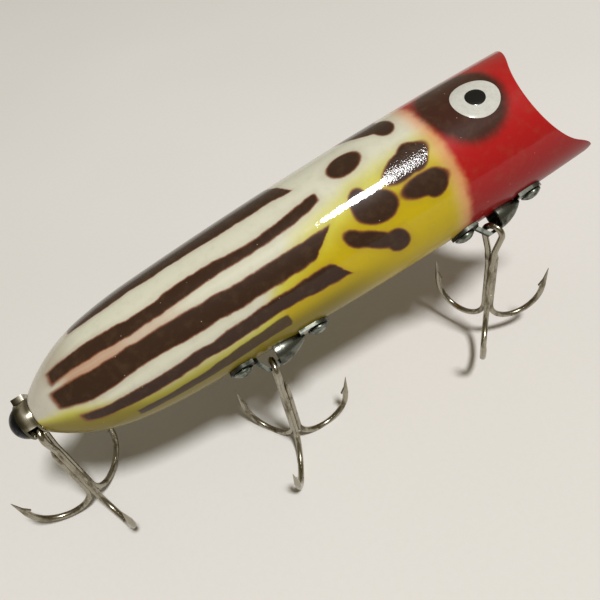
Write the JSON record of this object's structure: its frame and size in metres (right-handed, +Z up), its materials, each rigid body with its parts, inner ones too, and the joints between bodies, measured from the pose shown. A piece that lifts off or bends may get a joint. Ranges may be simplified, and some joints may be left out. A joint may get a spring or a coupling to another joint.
{
  "type": "topwater popper lure",
  "caption": "Surface fishing lure with a hollow two-shell body, scooped mouth, painted stripes and free-swinging treble hooks on screwed hangers.",
  "frame": {"origin": "middle of the line tie's ring, in the mouth of the lure", "axes": "+Z up, against gravity, so the trebles hang along -Z; the body's long axis points to +X with the nose 7.8 degrees up and the body rolled 55 degrees, right side up"},
  "size_m": [0.1218, 0.0364, 0.0554],
  "materials": {
    "painted_body": "glossy clear-coated paint: cream back, yellow sides, brown stripes and spots, red head",
    "hanger_steel": "tarnished nickel-plated sheet steel",
    "screw_steel": "tarnished nickel-plated steel",
    "cup_nickel": "worn bright nickel",
    "tail_screw_steel": "dark oxidised steel",
    "tie_steel": "nickel-plated steel",
    "hook_steel": "nickel-plated wire, slightly tarnished"
  },
  "bodies": {
    "lure_body": {"body_shell_right": "painted_body", "body_shell_left": "painted_body", "line_tie_eye": "tie_steel", "line_tie_washer": "tie_steel", "front_hanger_bail": "hanger_steel", "front_hanger_flap": "hanger_steel", "front_bail_screw": "screw_steel", "front_flap_screw": "screw_steel", "middle_hanger_bail": "hanger_steel", "middle_hanger_flap": "hanger_steel", "middle_bail_screw": "screw_steel", "middle_flap_screw": "screw_steel", "tail_cup": "cup_nickel", "tail_screw": "tail_screw_steel"},
    "front_treble": {"front_treble_double": "hook_steel", "front_treble_single": "hook_steel"},
    "middle_treble": {"middle_treble_double": "hook_steel", "middle_treble_single": "hook_steel"},
    "tail_treble": {"tail_treble_double": "hook_steel", "tail_treble_single": "hook_steel"}
  },
  "joints": [
    {"name": "front_treble_swing", "type": "hinge", "parent": "lure_body", "child": "front_treble", "pos_m": [-0.0148, -0.01298, -0.01113], "axis": [0.9907, 0, 0.1357], "range_deg": [-125, 15]},
    {"name": "middle_treble_swing", "type": "hinge", "parent": "lure_body", "child": "middle_treble", "pos_m": [-0.06078, -0.01235, -0.01699], "axis": [0.9907, 0, 0.1357], "range_deg": [-125, 15]},
    {"name": "tail_treble_swing", "type": "hinge", "parent": "lure_body", "child": "tail_treble", "pos_m": [-0.09982, -0.00275, -0.0156], "axis": [0.9907, 0, 0.1357], "range_deg": [-120, 10]}
  ]
}
